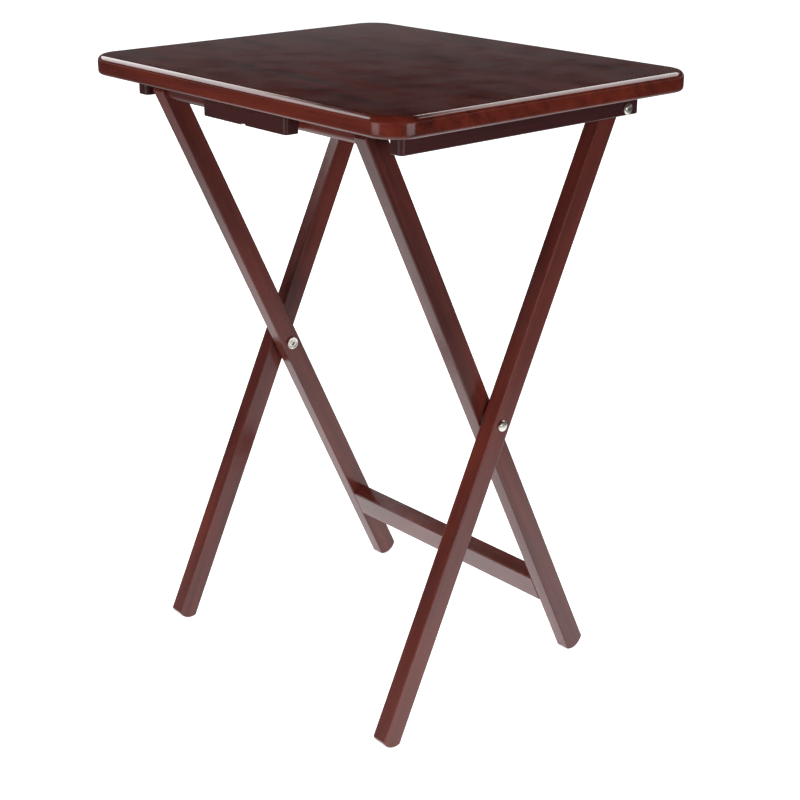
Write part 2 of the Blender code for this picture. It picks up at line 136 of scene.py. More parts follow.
def panel_light(name, place, width, height, watts, colour=(1, 1, 1), mirrored=True):
    """A soft panel that faces the middle of the table, and that glossy faces mirror or don't."""
    data = bpy.data.lights.new(name, "AREA")
    data.shape = "RECTANGLE"
    data.size = width
    data.size_y = height
    data.energy = watts
    data.color = colour
    lamp = bpy.data.objects.new(name, data)
    lamp.location = place
    lamp.visible_glossy = mirrored
    middle = (cad_low + cad_high) / 2
    lamp.rotation_euler = (middle - Vector(place)).to_track_quat("-Z", "Y").to_euler()
    bpy.context.scene.collection.objects.link(lamp)
    print(f"{name}: {watts} W")


panel_light("front_panel", (0.7, -2.5, 0.9), 1.6, 1.6, 54, (1, 0.985, 0.97), mirrored=False)
panel_light("right_panel", (2.7, -0.2, 0.9), 1.4, 1.4, 48, (0.95, 0.975, 1), mirrored=False)
panel_light("top_panel", (0, 0.2, 2.8), 1.5, 1.5, 7, mirrored=False)
panel_light("front_strip", (-0.6, -2.8, 0.28), 1.3, 0.5, 5.5)
panel_light("right_strip", (2.8, 0.2, 0.28), 1.3, 0.5, 5.5)
panel_light("left_high_panel", (-4.0, -0.8, 2.95), 4.6, 1.5, 116)
panel_light("back_high_panel", (0.05, 2.5, 2.6), 3.2, 1.2, 54)

# %% [markdown]
# The floor is a pale sweep. It glows a little close to the table, as a lit floor does, and sends
# that light up under the rails and legs. The room beyond is dim, or the satin top, which is seen
# at a low angle, would mirror it and turn grey. The Light Path node keeps the backdrop itself
# plain and pale.

# %% Floor and room
FLOOR_DROP = 0.0003
FLOOR_SIZE = 60
FLOOR_DIM = (0.16, 0.16, 0.16, 1)
FLOOR_PALE = (0.84, 0.84, 0.85, 1)
FLOOR_GLOW = (0.955, 0.975, 1, 1)
ROOM_COLOUR = (0.95, 0.97, 1.0, 1)
BACKDROP_COLOUR = (0.99, 0.995, 1, 1)
# Each fade says where it starts and ends, and the strength at its start and at its end.
GLOW_FADE = (0.3, 1.5, 0.82, 0.0)
SEEN_FADE = (0.6, 2.6, 0.74, 1.0)
ROOM_FADE = (0.05, 0.16, 0.58, 0.01)


def joined(tree, start, end):
    """Joins an output socket to an input socket."""
    tree.links.new(start, end)


def ramp(tree, socket, low, high, to_low, to_high):
    """A smooth step from one value to another."""
    node = tree.nodes.new("ShaderNodeMapRange")
    node.interpolation_type = "SMOOTHSTEP"
    values = {"From Min": low, "From Max": high, "To Min": to_low, "To Max": to_high}
    for key, value in values.items():
        node.inputs[key].default_value = value
    joined(tree, socket, node.inputs["Value"])
    return node.outputs["Result"]


def make_floor():
    """A plane whose glow depends on the distance from the table and on who looks at it."""
    bpy.ops.object.select_all(action="DESELECT")
    bpy.ops.mesh.primitive_plane_add(size=FLOOR_SIZE, location=(0, 0, -FLOOR_DROP))
    floor = bpy.context.object
    floor.name = "floor"
    material = bpy.data.materials.new("floor_paint")
    material.use_nodes = True
    tree = material.node_tree
    paint = tree.nodes["Principled BSDF"]
    paint.inputs["Roughness"].default_value = 0.9
    paint.inputs["Specular IOR Level"].default_value = 0.1
    paint.inputs["Emission Color"].default_value = FLOOR_GLOW
    place = tree.nodes.new("ShaderNodeTexCoord")
    distance = tree.nodes.new("ShaderNodeVectorMath")
    distance.operation = "LENGTH"
    joined(tree, place.outputs["Object"], distance.inputs[0])
    lit = ramp(tree, distance.outputs["Value"], *GLOW_FADE)
    seen = ramp(tree, distance.outputs["Value"], *SEEN_FADE)
    ray = tree.nodes.new("ShaderNodeLightPath")
    strength = tree.nodes.new("ShaderNodeMix")
    joined(tree, ray.outputs["Is Camera Ray"], strength.inputs["Factor"])
    joined(tree, lit, strength.inputs["A"])
    joined(tree, seen, strength.inputs["B"])
    joined(tree, strength.outputs["Result"], paint.inputs["Emission Strength"])
    near = tree.nodes.new("ShaderNodeMath")
    near.operation = "MAXIMUM"
    joined(tree, ray.outputs["Is Camera Ray"], near.inputs[0])
    joined(tree, lit, near.inputs[1])
    # The colour is a painted pool of light: pale where the floor glows, dim beyond, pale for the
    # camera.
    shade = tree.nodes.new("ShaderNodeMix")
    shade.data_type = "RGBA"
    shade.inputs["A"].default_value = FLOOR_DIM
    shade.inputs["B"].default_value = FLOOR_PALE
    joined(tree, near.outputs[0], shade.inputs["Factor"])
    joined(tree, shade.outputs["Result"], paint.inputs["Base Color"])
    floor.data.materials.append(material)


def make_room():
    """A backdrop for the camera, and a room for all else that is dim above the horizon."""
    world = bpy.data.worlds.new("studio")
    bpy.context.scene.world = world
    world.use_nodes = True
    tree = world.node_tree
    room = tree.nodes["Background"]
    direction = tree.nodes.new("ShaderNodeTexCoord")
    parts = tree.nodes.new("ShaderNodeSeparateXYZ")
    joined(tree, direction.outputs["Generated"], parts.inputs[0])
    joined(tree, ramp(tree, parts.outputs["Z"], *ROOM_FADE), room.inputs["Strength"])
    room.inputs["Color"].default_value = ROOM_COLOUR
    backdrop = tree.nodes.new("ShaderNodeBackground")
    backdrop.inputs["Color"].default_value = BACKDROP_COLOUR
    ray = tree.nodes.new("ShaderNodeLightPath")
    either = tree.nodes.new("ShaderNodeMixShader")
    joined(tree, ray.outputs["Is Camera Ray"], either.inputs["Fac"])
    joined(tree, room.outputs[0], either.inputs[1])
    joined(tree, backdrop.outputs[0], either.inputs[2])
    joined(tree, either.outputs[0], tree.nodes["World Output"].inputs["Surface"])


make_floor()
make_room()
bpy.context.scene.view_settings.view_transform = "Standard"
print("floor:", FLOOR_SIZE, "m wide,", 1000 * FLOOR_DROP, "mm under the feet")

# %% [markdown]
# ## Finishes
# A material is a small network of nodes. Each noise is read in the piece's own metres, so a pore
# is as long on a leg as on the top. A small class keeps the networks readable: one of its methods
# adds any node and links it, and the others add the few kinds that every finish here is made of.

# %% Helpers for materials


class Finish:
    """A material whose nodes are added one after another, each linked as it's made."""

    def __init__(self, name):
        self.material = bpy.data.materials.new(name)
        self.material.use_nodes = True
        self.nodes = self.material.node_tree.nodes
        self.shader = self.nodes["Principled BSDF"]

    def add(self, kind, values=None, links=None, **settings):
        """Adds a node, sets its settings and socket values, and links sockets into it."""
        node = self.nodes.new("ShaderNode" + kind)
        for key, value in settings.items():
            setattr(node, key, value)
        for key, value in (values or {}).items():
            node.inputs[key].default_value = value
        for key, socket in (links or {}).items():
            self.material.node_tree.links.new(socket, node.inputs[key])
        return node

    def into_shader(self, **sockets):
        """Links sockets into the shader's inputs, or sets plain values on them."""
        for key, value in sockets.items():
            target = self.shader.inputs[key.replace("_", " ")]
            if isinstance(value, bpy.types.NodeSocket):
                self.material.node_tree.links.new(value, target)
            else:
                target.default_value = value
        print(f"{self.material.name}: {len(self.nodes)} nodes")

    def noise(self, vector, scale, detail=2.0, roughness=0.5, distortion=0.0):
        """A cloudy pattern of values about 0.5."""
        values = {"Scale": scale, "Detail": detail, "Roughness": roughness,
                  "Distortion": distortion}
        return self.add("TexNoise", values, {"Vector": vector}).outputs["Fac"]

    def stretched(self, vector, along, across):
        """Coordinates for a pattern that is drawn out along X, the way of the grain."""
        values = {1: (along, across, across)}
        return self.add("VectorMath", values, {0: vector}, operation="MULTIPLY").outputs[0]

    def ranged(self, socket, low, high, to_low=0.0, to_high=1.0):
        """Stretches a range of values to another range, and cuts off what lies beyond."""
        values = {"From Min": low, "From Max": high, "To Min": to_low, "To Max": to_high}
        return self.add("MapRange", values, {"Value": socket}).outputs["Result"]

    def maths(self, operation, first, second):
        """Adds, subtracts or multiplies two values, each a socket or a number."""
        node = self.add("Math", operation=operation)
        for number, value in enumerate((first, second)):
            if isinstance(value, bpy.types.NodeSocket):
                self.material.node_tree.links.new(value, node.inputs[number])
            else:
                node.inputs[number].default_value = value
        return node.outputs[0]

    def mixed(self, share, first, second):
        """Mixes two colours, each a socket or a plain colour."""
        node = self.add("Mix", data_type="RGBA")
        for number, value in ((0, share), (6, first), (7, second)):
            if isinstance(value, bpy.types.NodeSocket):
                self.material.node_tree.links.new(value, node.inputs[number])
            else:
                node.inputs[number].default_value = value if number == 0 else (*value, 1)
        return node.outputs[2]

    def bumped(self, height, strength, distance, normal=None):
        """Tilts the surface by a height pattern, over another bump if one is given."""
        links = {"Height": height}
        if normal:
            links["Normal"] = normal
        return self.add("Bump", {"Strength": strength, "Distance": distance}, links).outputs[0]


# %% [markdown]
# The wood is a close-grained hardwood under a dark red-brown stain and a satin lacquer. Four
# things show through such a finish: broad soft streaks of the growth rings, fine fibres, short
# dark pores that took more stain, and slow changes in how deep the stain went. All four are drawn
# out along the grain, so one Mapping node turns the pattern until its X runs along the board. The
# lacquer rounds over the pores and has a faint ripple of its own, which breaks up its highlights.

# %% Stained wood
RING_STREAKS = (1.6, 42.0)
FIBRES = (9.0, 380.0)
PORES = (42.0, 1500.0)
STAIN_CLOUDS = (5.0, 16.0)
BAND_SHAPE = {"Scale": 26.0, "Distortion": 5.5, "Detail": 3.0, "Detail Scale": 1.2}
STREAK_SHARE, BAND_SHARE, FIBRE_SHARE = 0.72, 0.10, 0.34
PORE_SHADE, PORE_COVER, PORE_DULLNESS = 0.35, 0.45, 0.06
GRAIN_DEPTH = 0.00008
RIPPLE_DEPTH = 0.0003
LACQUER = 0.12
LACQUER_ROUGHNESS = 0.12
WOOD_SPECULAR = 0.38


def stained_wood(name, deep, light, glow, turn, roughness=0.20, relief=0.20):
    """Wood whose grain runs along X after the turn, in degrees.

    Deep, light and glow are the stain in the dark grain, in the light grain and where it went on
    redder. Relief says how strongly the pores and the ripple tilt the surface.
    """
    wood = Finish(name)
    place = wood.add("TexCoord").outputs["Object"]
    turned_place = wood.add("Mapping", {"Rotation": [math.radians(angle) for angle in turn]},
                            {"Vector": place}).outputs[0]
    streaks = wood.noise(wood.stretched(turned_place, *RING_STREAKS), 1.0, 5.0, 0.6, 0.4)
    bands = wood.add("TexWave", BAND_SHAPE, {"Vector": wood.stretched(turned_place, 0.06, 1.0)},
                     bands_direction="DIAGONAL").outputs["Fac"]
    fibres = wood.noise(wood.stretched(turned_place, *FIBRES), 1.0, 3.0, 0.6)
    pores = wood.ranged(wood.noise(wood.stretched(turned_place, *PORES), 1.0, 2.0), 0.60, 0.72)
    depth = wood.noise(wood.stretched(turned_place, *STAIN_CLOUDS), 1.0, 3.0, 0.55, 0.4)
    figure = wood.maths("ADD", wood.maths("MULTIPLY", streaks, STREAK_SHARE),
                        wood.maths("MULTIPLY", bands, BAND_SHARE))
    figure = wood.maths("ADD", figure, wood.maths("MULTIPLY", fibres, FIBRE_SHARE))
    colour = wood.mixed(wood.ranged(figure, 0.42, 0.78), deep, light)
    colour = wood.mixed(wood.ranged(depth, 0.36, 0.70, 0.0, 0.65), colour, glow)
    colour = wood.mixed(wood.maths("MULTIPLY", pores, PORE_COVER), colour,
                        [PORE_SHADE * channel for channel in deep])
    sheen = wood.noise(place, 26.0, 3.0)
    shine = wood.ranged(sheen, 0.3, 0.7, roughness - 0.03, roughness + 0.05)
    shine = wood.maths("ADD", shine, wood.maths("MULTIPLY", pores, PORE_DULLNESS))
    grain = wood.maths("SUBTRACT", wood.maths("MULTIPLY", fibres, 0.5), pores)
    normal = wood.bumped(grain, relief, GRAIN_DEPTH)
    ripple = wood.noise(place, 60.0, 1.0)
    normal = wood.bumped(ripple, relief, RIPPLE_DEPTH, normal)
    wood.into_shader(Base_Color=colour, Roughness=shine, Normal=normal, Coat_Weight=LACQUER,
                     Coat_Roughness=LACQUER_ROUGHNESS, Specular_IOR_Level=WOOD_SPECULAR)
    print("  its grain is turned by", [round(angle, 1) for angle in turn], "degrees")
    return wood.material


lean_degrees = math.degrees(LEAN)
LEG_STAIN = ((0.032, 0.0072, 0.0062), (0.092, 0.0205, 0.0165), (0.118, 0.0200, 0.0120))
TOP_STAIN = ((0.030, 0.0050, 0.0036), (0.108, 0.0160, 0.0090), (0.122, 0.0180, 0.0085))
# The cleats and the catch block take a darker stain: painted shade, for the shadow of the top.
SHADED_UNDER_TOP_STAIN = ((0.016, 0.0042, 0.0045), (0.048, 0.0110, 0.0110), (0.040, 0.0085, 0.0080))
TOP_WOOD = stained_wood("espresso_top", *TOP_STAIN, (0, 0, 0), 0.13, 0.05)
SHADED_CATCH_WOOD = stained_wood("shaded_espresso_catch", *SHADED_UNDER_TOP_STAIN, (0, 0, 0), 0.28)
CROSSBAR_WOOD = stained_wood("espresso_crossbar", *LEG_STAIN, (0, 0, 0))
SHADED_CLEAT_WOOD = stained_wood("shaded_espresso_cleat", *SHADED_UNDER_TOP_STAIN, (0, 0, 90), 0.28)
OUTER_LEG_WOOD = stained_wood("espresso_outer_leg", *LEG_STAIN, (0, 90, -lean_degrees))
INNER_LEG_WOOD = stained_wood("espresso_inner_leg", *LEG_STAIN, (0, 90, lean_degrees))

# %% [markdown]
# The glue pins inside the joints are plain beech: pale, with short brown flecks along the grain.

# %% Beech pins


def plain_beech(name):
    """Pale wood with short brown flecks along X."""
    beech = Finish(name)
    place = beech.add("TexCoord").outputs["Object"]
    streaks = beech.noise(beech.stretched(place, 12.0, 300.0), 1.0, 3.0)
    flecks = beech.ranged(beech.noise(beech.stretched(place, 160.0, 1400.0), 1.0), 0.6, 0.7)
    colour = beech.mixed(streaks, (0.50, 0.32, 0.17), (0.66, 0.47, 0.28))
    colour = beech.mixed(beech.maths("MULTIPLY", flecks, 0.5), colour, (0.30, 0.16, 0.07))
    rough = beech.ranged(streaks, 0.3, 0.7, 0.55, 0.7)
    beech.into_shader(Base_Color=colour, Roughness=rough, Normal=beech.bumped(flecks, 0.3, 0.0002))
    return beech.material


BEECH = plain_beech("beech")

# %% [markdown]
# The bolts and nuts are steel with bright nickel. Nickel is a little warmer than chrome. It's
# polished but never perfect: a soft haze changes its roughness, and fine lines from polishing run
# round it. Screws are the same metal, but duller and with darker stained spots.

# %% Nickel


def nickel(name, roughness, line_depth, stained=0.0):
    """Plated steel with polishing lines, and with spots where it is stained."""
    metal = Finish(name)
    place = metal.add("TexCoord").outputs["Object"]
    haze = metal.noise(place, 320.0, 3.0)
    lines = metal.noise(metal.stretched(place, 7000.0, 900.0), 1.0, 2.0)
    spots = metal.ranged(metal.noise(place, 900.0, 2.0), 0.62, 0.74)
    colour = metal.mixed(haze, (0.70, 0.655, 0.58), (0.83, 0.80, 0.74))
    spotted = metal.maths("MULTIPLY", spots, 0.15 + stained)
    colour = metal.mixed(spotted, colour, (0.20, 0.16, 0.12))
    rough = metal.ranged(haze, 0.3, 0.7, roughness - 0.04, roughness + 0.08)
    rough = metal.maths("ADD", rough, metal.maths("MULTIPLY", lines, 0.05))
    metal.into_shader(Base_Color=colour, Roughness=rough, Metallic=1.0,
                      Normal=metal.bumped(lines, line_depth, 0.00002))
    return metal.material


BRIGHT_NICKEL = nickel("bright_nickel", 0.22, 0.15)
DULL_NICKEL = nickel("dull_nickel", 0.30, 0.35, 0.35)

# %% [markdown]
# The spacers between the legs are moulded nylon: waxy, off-white and slightly see-through at thin
# edges, with the faint cloudiness of a moulding.

# %% Nylon


def moulded_nylon(name):
    """Off-white plastic that lets a little light in."""
    plastic = Finish(name)
    place = plastic.add("TexCoord").outputs["Object"]
    cloud = plastic.noise(place, 180.0, 3.0)
    grit = plastic.noise(place, 2600.0, 2.0)
    colour = plastic.mixed(cloud, (0.60, 0.57, 0.50), (0.74, 0.72, 0.66))
    rough = plastic.ranged(cloud, 0.3, 0.7, 0.42, 0.56)
    plastic.into_shader(Base_Color=colour, Roughness=rough, Subsurface_Weight=0.15,
                        Normal=plastic.bumped(grit, 0.15, 0.00004))
    plastic.shader.inputs["Subsurface Radius"].default_value = (0.002, 0.0018, 0.0014)
    return plastic.material


NYLON = moulded_nylon("nylon")

# %% [markdown]
# ## Tools for modelling
# Each piece starts from a primitive at its true size and place and is worked in edit mode. Faces
# and edges are picked by where they are, which stays true if a size changes. Everything is
# deselected first, since an operator acts on all that is selected. A hole is drilled with a
# Boolean, and a lathe shape is a circle that is extruded and scaled again and again.

# %% Helpers for modelling
HAIR = 0.0001
MERGED_WITHIN = 0.00001
LATHE_MERGED_WITHIN = 0.000001
FLAT_WITHIN = math.radians(0.5)
QUARTER_TURN = math.radians(90)


def only(piece):
    """Makes this piece the only one selected, and the active one."""
    bpy.ops.object.select_all(action="DESELECT")
    piece.select_set(True)
    bpy.context.view_layer.objects.active = piece


def pick(piece, kind, test):
    """In edit mode, selects just the edges or faces that pass a test."""
    bpy.ops.mesh.select_mode(type=kind)
    bpy.ops.mesh.select_all(action="DESELECT")
    mesh = bmesh.from_edit_mesh(piece.data)
    for item in (mesh.edges if kind == "EDGE" else mesh.faces):
        if test(item):
            item.select_set(True)
    bmesh.update_edit_mesh(piece.data)


def span(edge, axis):
    """How far an edge reaches along an axis: 0 is X, 1 is Y and 2 is Z."""
    return abs(edge.verts[0].co[axis] - edge.verts[1].co[axis])


def both_ends(test):
    """A test for edges, made from a test for points."""
    return lambda edge: all(test(vertex.co) for vertex in edge.verts)


def block(name, low, high):
    """A cube stretched between two corners."""
    bpy.ops.object.select_all(action="DESELECT")
    size = Vector(high) - Vector(low)
    middle = (Vector(high) + Vector(low)) / 2
    bpy.ops.mesh.primitive_cube_add(size=1, location=middle, scale=size)
    piece = bpy.context.object
    piece.name = piece.data.name = name
    bpy.ops.object.transform_apply(location=True, rotation=True, scale=True)
    return piece


def round_edges(piece, test, radius, steps):
    """Bevels the edges that pass a test."""
    only(piece)
    bpy.ops.object.mode_set(mode="EDIT")
    pick(piece, "EDGE", test)
    bpy.ops.mesh.bevel(offset=radius, segments=steps, profile=0.5, affect="EDGES")
    bpy.ops.object.mode_set(mode="OBJECT")


def cut(piece, tool):
    """Cuts one piece with another, which is used up."""
    only(piece)
    boolean = piece.modifiers.new("cut", "BOOLEAN")
    boolean.operation = "DIFFERENCE"
    boolean.solver = "EXACT"
    boolean.object = tool
    bpy.ops.object.modifier_apply(modifier="cut")
    bpy.data.objects.remove(tool)


def bore(piece, start, end, radius, sides=40):
    """Drills a round hole between two points."""
    start, end = Vector(start), Vector(end)
    along = end - start
    bpy.ops.object.select_all(action="DESELECT")
    turn = along.to_track_quat("Z", "Y").to_euler()
    bpy.ops.mesh.primitive_cylinder_add(vertices=sides, radius=radius, depth=along.length,
                                        location=(start + end) / 2, rotation=turn)
    cut(piece, bpy.context.object)


def turned(name, profile, sides=48, hollow=False):
    """Extrudes and scales a circle through (radius, height) points, up from the origin along Z."""
    radius, height = profile[0]
    bpy.ops.object.select_all(action="DESELECT")
    fill = "NOTHING" if hollow else "NGON"
    bpy.ops.mesh.primitive_circle_add(vertices=sides, radius=radius, fill_type=fill,
                                      location=(0, 0, height))
    piece = bpy.context.object
    piece.name = piece.data.name = name
    bpy.ops.object.transform_apply(location=True, rotation=True, scale=True)
    bpy.ops.object.mode_set(mode="EDIT")
    bpy.ops.mesh.select_all(action="SELECT")
    for (radius, height), (next_radius, next_height) in zip(profile, profile[1:]):
        move = {"value": (0, 0, next_height - height)}
        if hollow:
            bpy.ops.mesh.extrude_edges_move(TRANSFORM_OT_translate=move)
        else:
            bpy.ops.mesh.extrude_region_move(TRANSFORM_OT_translate=move)
        growth = next_radius / radius
        bpy.ops.transform.resize(value=(growth, growth, 1), center_override=(0, 0, next_height))
    bpy.ops.mesh.select_all(action="SELECT")
    bpy.ops.mesh.remove_doubles(threshold=LATHE_MERGED_WITHIN)
    bpy.ops.mesh.normals_make_consistent(inside=False)
    bpy.ops.object.mode_set(mode="OBJECT")
    return piece


# %% [markdown]
# What the table has on both sides is modelled once. Each side then gets a copy with its own mesh,
# which is turned and moved to its place, and the pattern itself is taken away. A finished piece
# stands for one solid of the model and rides on that solid's body.


def put(piece, place, turn=(0, 0, 0)):
    """Turns and moves a piece, and sets that in its mesh, so the object stays at the origin."""
    only(piece)
    piece.rotation_euler = turn
    piece.location = place
    bpy.ops.object.transform_apply(location=True, rotation=True, scale=True)


def copied(piece, name):
    """A copy with its own mesh."""
    twin = piece.copy()
    twin.data = piece.data.copy()
    twin.name = twin.data.name = name
    bpy.context.scene.collection.objects.link(twin)
    return twin


def dress(piece, node, material, smooth_below=40):
    """Gives a piece its shading and finish, and lets it stand for a CAD node, on that body."""
    only(piece)
    bpy.ops.object.shade_smooth_by_angle(angle=math.radians(smooth_below))
    weighted = piece.modifiers.new("even_normals", "WEIGHTED_NORMAL")
    weighted.keep_sharp = True
    weighted.weight = 100
    bpy.ops.object.modifier_apply(modifier="even_normals")
    piece.data.materials.clear()
    piece.data.materials.append(material)
    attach(piece, frame["nodes"][node]["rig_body"])
    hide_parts(node)
    mesh = bmesh.new()
    mesh.from_mesh(piece.data)
    open_edges = sum(not edge.is_manifold for edge in mesh.edges)
    volume = mesh.calc_volume(signed=True)
    mesh.free()
    print(f"{piece.name}: {len(piece.data.polygons)} faces, {open_edges} open edges,",
          f"{1e6 * volume:.2f} cm3")


def fit_pair(pattern, kind, ending, steps, material, smooth_below=40):
    """Dresses a copy of the pattern for each side, brought there by steps of place and turn."""
    for side, sign in SIDES:
        node = f"{kind}_{side}"
        piece = copied(pattern, f"{node}_{ending}")
        for place, turn in steps(node, sign):
            put(piece, place, turn)
        dress(piece, node, material, smooth_below)
    bpy.data.objects.remove(pattern)


# %% [markdown]
# ## The top
# The top is one flat board with its grain along the long side. Its corners are round in plan. A
# larger round-over above meets a hand that slides along it, and a smaller one below only takes the
# edge off. A cube is enough to start: bevel the four upright edges, then the rim above and below.

# %% Tabletop
TOP_CORNER_RADIUS = 0.032
TOP_UPPER_ROUND = 0.0065
TOP_LOWER_ROUND = 0.004

top_low, top_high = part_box("tabletop")
top = block("tabletop_board", top_low, top_high)
round_edges(top, lambda edge: span(edge, 2) > HAIR, TOP_CORNER_RADIUS, 20)
round_edges(top, both_ends(lambda point: point.z > top_high.z - HAIR), TOP_UPPER_ROUND, 8)
round_edges(top, both_ends(lambda point: point.z < top_low.z + HAIR), TOP_LOWER_ROUND, 6)
dress(top, "tabletop", TOP_WOOD)

# %% [markdown]
# ## Cleats
# A cleat is a rail screwed up against the top near each end. The pivot bolt runs through it. Its
# upright corners are rounded and its lower edges are eased. The screw holes are counterbored from
# below, which is modelled by drilling with a Boolean, the way that a real hole is made.

# %% Cleats
CLEAT_CORNER_RADIUS = 0.005
EASED_EDGE = 0.0015
HOLE_PLAY = 0.0003
BOLT_RADIUS = 0.003
BEYOND = 0.004
SCREW_SEAT = 0.0028
PLACES = ("near", "middle", "far")


def counterbore(piece, screw):
    """A hole up from below for a screw, whose head is sunk."""
    low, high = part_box(screw)
    middle = (low + high) / 2
    radius = (high.x - low.x) / 2 + HOLE_PLAY
    bore(piece, (middle.x, middle.y, low.z - BEYOND), (middle.x, middle.y, low.z + SCREW_SEAT),
         radius, 32)


def model_cleat():
    """The left cleat, in its place."""
    low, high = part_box("cleat_left")
    cleat = block("cleat", low, high)
    round_edges(cleat, lambda edge: span(edge, 2) > HAIR, CLEAT_CORNER_RADIUS, 8)
    round_edges(cleat, both_ends(lambda point: point.z < low.z + HAIR), EASED_EDGE, 4)
    start = (low.x - BEYOND, PIVOT.y, PIVOT.z)
    bore(cleat, start, (high.x + BEYOND, PIVOT.y, PIVOT.z), BOLT_RADIUS + HOLE_PLAY)
    for place in PLACES:
        counterbore(cleat, f"cleat_screw_left_{place}")
    return cleat


def slide_cleat(node, sign):
    """From the left cleat's place to this one's."""
    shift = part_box(node)[0].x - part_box("cleat_left")[0].x
    return [((shift, 0, 0), (0, 0, 0))]


fit_pair(model_cleat(), "cleat", "rail", slide_cleat, SHADED_CLEAT_WOOD)

# %% [markdown]
# ## Catch block
# The crossbar of the inner legs rests behind this block, in a hollow that fits it closely and is
# open below and towards the legs, so that the crossbar can leave it. The block starts as a cube, a
# round tool takes out the hollow, and a second cube clears what's left behind it. A shallow notch
# in the middle of the lower edge gives a fingertip room.

# %% Catch block
CATCH_CORNER_RADIUS = 0.004
CATCH_LOWER_ROUND = 0.0008
CATCH_MIN_UPRIGHT = 0.01
NOTCH_RADIUS = 0.006
NOTCH_DEPTH = 0.0022
SEAT_PLAY = 0.0005

dowel_low, dowel_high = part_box("top_dowel")
dowel_radius = (dowel_high.y - dowel_low.y) / 2
dowel_y, dowel_z = (dowel_low.y + dowel_high.y) / 2, (dowel_low.z + dowel_high.z) / 2
seat_radius = dowel_radius + SEAT_PLAY


def model_catch_block():
    """The block with its hollow, its rounded edges, its notch and its two screw holes."""
    low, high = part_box("catch_block")
    catch = block("catch_block_body", low, high)
    edge_x = high.x + BEYOND
    bore(catch, (-edge_x, dowel_y, dowel_z), (edge_x, dowel_y, dowel_z), seat_radius, 96)
    cut(catch, block("below", (-edge_x, dowel_y - seat_radius, low.z - BEYOND),
                     (edge_x, high.y + BEYOND, dowel_z)))
    cut(catch, block("behind", (-edge_x, dowel_y, dowel_z - BEYOND),
                     (edge_x, high.y + BEYOND, dowel_z + seat_radius)))
    only(catch)
    bpy.ops.object.mode_set(mode="EDIT")
    bpy.ops.mesh.select_all(action="SELECT")
    bpy.ops.mesh.remove_doubles(threshold=MERGED_WITHIN)
    bpy.ops.mesh.dissolve_limited(angle_limit=FLAT_WITHIN)
    bpy.ops.object.mode_set(mode="OBJECT")
    at_front = both_ends(lambda point: point.y < low.y + HAIR)
    round_edges(catch, lambda edge: span(edge, 2) > CATCH_MIN_UPRIGHT and at_front(edge),
                CATCH_CORNER_RADIUS, 8)
    round_edges(catch, both_ends(lambda point: point.z < low.z + HAIR), CATCH_LOWER_ROUND, 3)
    notch_z = low.z - NOTCH_RADIUS + NOTCH_DEPTH
    bore(catch, (0, low.y - BEYOND, notch_z), (0, dowel_y, notch_z), NOTCH_RADIUS, 48)
    for side, _ in SIDES:
        counterbore(catch, f"catch_screw_{side}")
    return catch


dress(model_catch_block(), "catch_block", SHADED_CATCH_WOOD)

# %% [markdown]
# ## Legs
# A leg is a straight bar, 18 mm thick and 24 mm wide, whose two ends are shallow arcs, so that it
# can rock on the floor as the table opens. It's modelled upright, with the crossing bolt at the
# origin: the end faces are taken off a block, and the edge on one side is spun over to the other
# side, which leaves the arc. Then the long edges are eased and the holes are drilled. Only a right
# leg is modelled. The left one is the same leg turned half round, and both are leaned at the end.

# %% Shape of a leg
ARC_TO_WIDTH = 0.7
ARC_STEPS = 18
INSERT_HOLE = 0.0048
SLEEVE_HOLE = 0.0043


def spun_end(leg, tip, sign, half_width, radius):
    """Closes one end of a leg with an arc. The tip is the arc's highest or lowest point."""
    half_angle = math.asin(half_width / radius)
    shoulder = tip - sign * (radius - math.sqrt(radius**2 - half_width**2))
    pick(leg, "FACE", lambda face: all(abs(v.co.z - shoulder) < HAIR for v in face.verts))
    bpy.ops.mesh.delete(type="ONLY_FACE")
    pick(leg, "EDGE", both_ends(
        lambda point: abs(point.z - shoulder) < HAIR and point.y > half_width - HAIR))
    bpy.ops.mesh.spin(steps=ARC_STEPS, angle=-sign * 2 * half_angle, axis=(1, 0, 0),
                      center=(0, 0, tip - sign * radius))


def leg_bar(low, high):
    """A bar with arced ends between two corners of the leg's own frame."""
    half_width = high.y
    radius = ARC_TO_WIDTH * 2 * half_width
    rise = radius - math.sqrt(radius**2 - half_width**2)
    leg = block("leg", (low.x, low.y, low.z + rise), (high.x, high.y, high.z - rise))
    bpy.ops.object.mode_set(mode="EDIT")
    spun_end(leg, high.z, 1, half_width, radius)
    spun_end(leg, low.z, -1, half_width, radius)
    bpy.ops.mesh.select_all(action="SELECT")
    bpy.ops.mesh.remove_doubles(threshold=MERGED_WITHIN)
    bpy.ops.mesh.select_mode(type="EDGE")
    bpy.ops.mesh.select_all(action="DESELECT")
    bpy.ops.mesh.select_non_manifold()
    bpy.ops.mesh.fill_holes(sides=0)
    bpy.ops.mesh.select_all(action="SELECT")
    bpy.ops.mesh.dissolve_limited(angle_limit=FLAT_WITHIN)
    bpy.ops.mesh.normals_make_consistent(inside=False)
    bpy.ops.object.mode_set(mode="OBJECT")
    round_edges(leg, lambda edge: span(edge, 0) < HAIR, EASED_EDGE, 4)
    return leg


def leaned(angle):
    """The steps of a leg: half a turn for the left one, then the lean about the crossing bolt."""
    return lambda node, sign: [((0, 0, 0), (0, 0, 0 if sign > 0 else math.pi)),
                               (CROSSING, (angle, 0, 0))]


# %% [markdown]
# The outer legs carry the top. Each has the crossing hole and, at the top, a hole for a threaded
# insert that the pivot bolt screws into from outside. The insert sits flush, because the inner leg
# passes close by.

# %% Outer legs
pivot_height = (PIVOT - CROSSING).length


